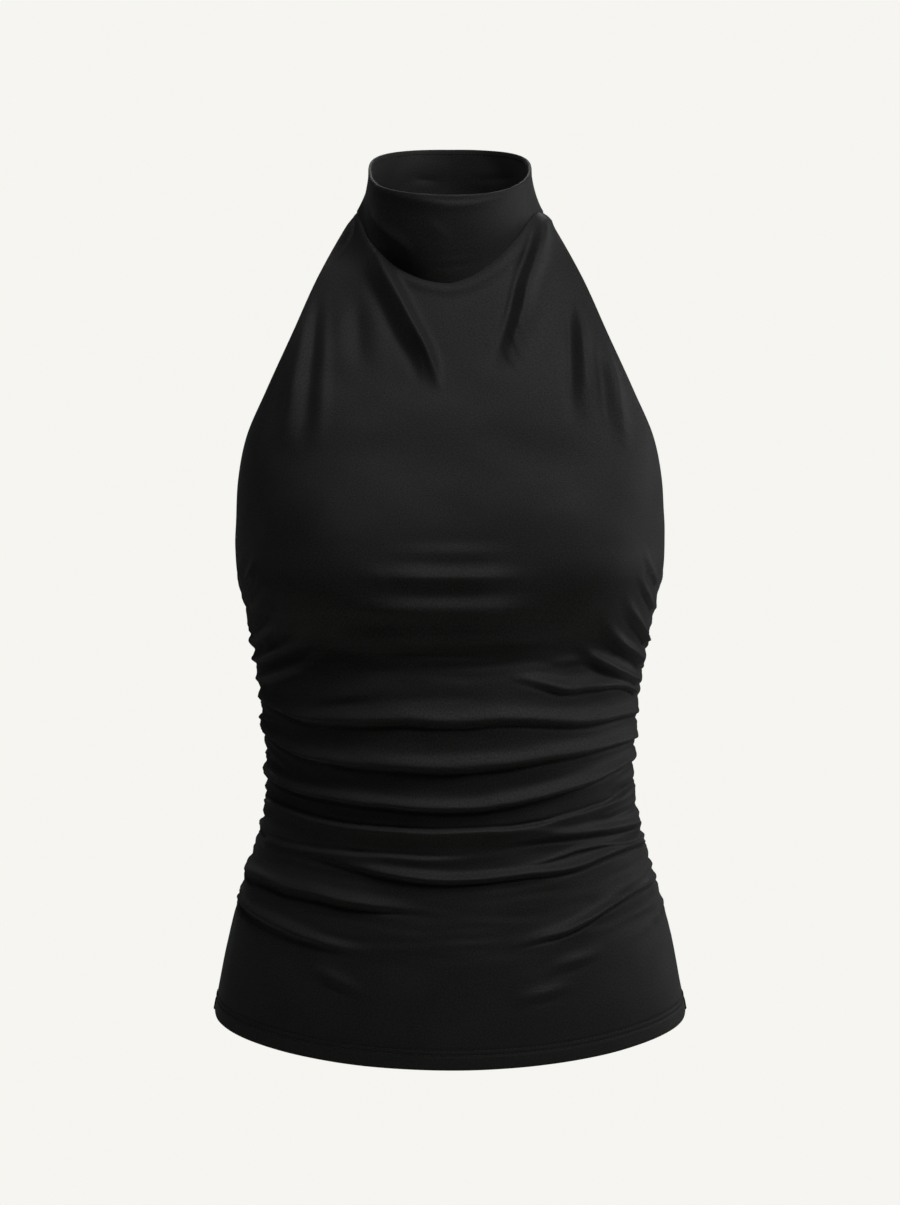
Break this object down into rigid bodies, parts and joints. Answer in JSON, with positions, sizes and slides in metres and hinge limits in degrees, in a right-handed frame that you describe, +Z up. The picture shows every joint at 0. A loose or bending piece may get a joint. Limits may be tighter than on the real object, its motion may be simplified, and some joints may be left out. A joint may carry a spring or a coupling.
{
  "type": "halter neck top",
  "caption": "Sleeveless halter top in plain jersey, filled out as worn: draped funnel collar, bare shoulders and upper back, ruched side seams and a flared, curved hem.",
  "frame": {"origin": "the middle of the wearer's neck inside the collar, level with the lower edge of the collar at the nape", "axes": "+Z up along the body, +Y towards the back, +X to the wearer's left (to the right when it is seen from the front)"},
  "size_m": [0.329, 0.2536, 0.6355],
  "materials": {
    "jersey_front": "matt black stretch jersey with a soft sheen",
    "jersey_back": "matt black stretch jersey with a soft sheen",
    "jersey_collar": "matt black stretch jersey with a soft sheen, folded double"
  },
  "bodies": {
    "root": {"front_panel": "jersey_front", "back_panel": "jersey_back", "collar": "jersey_collar"}
  },
  "joints": []
}
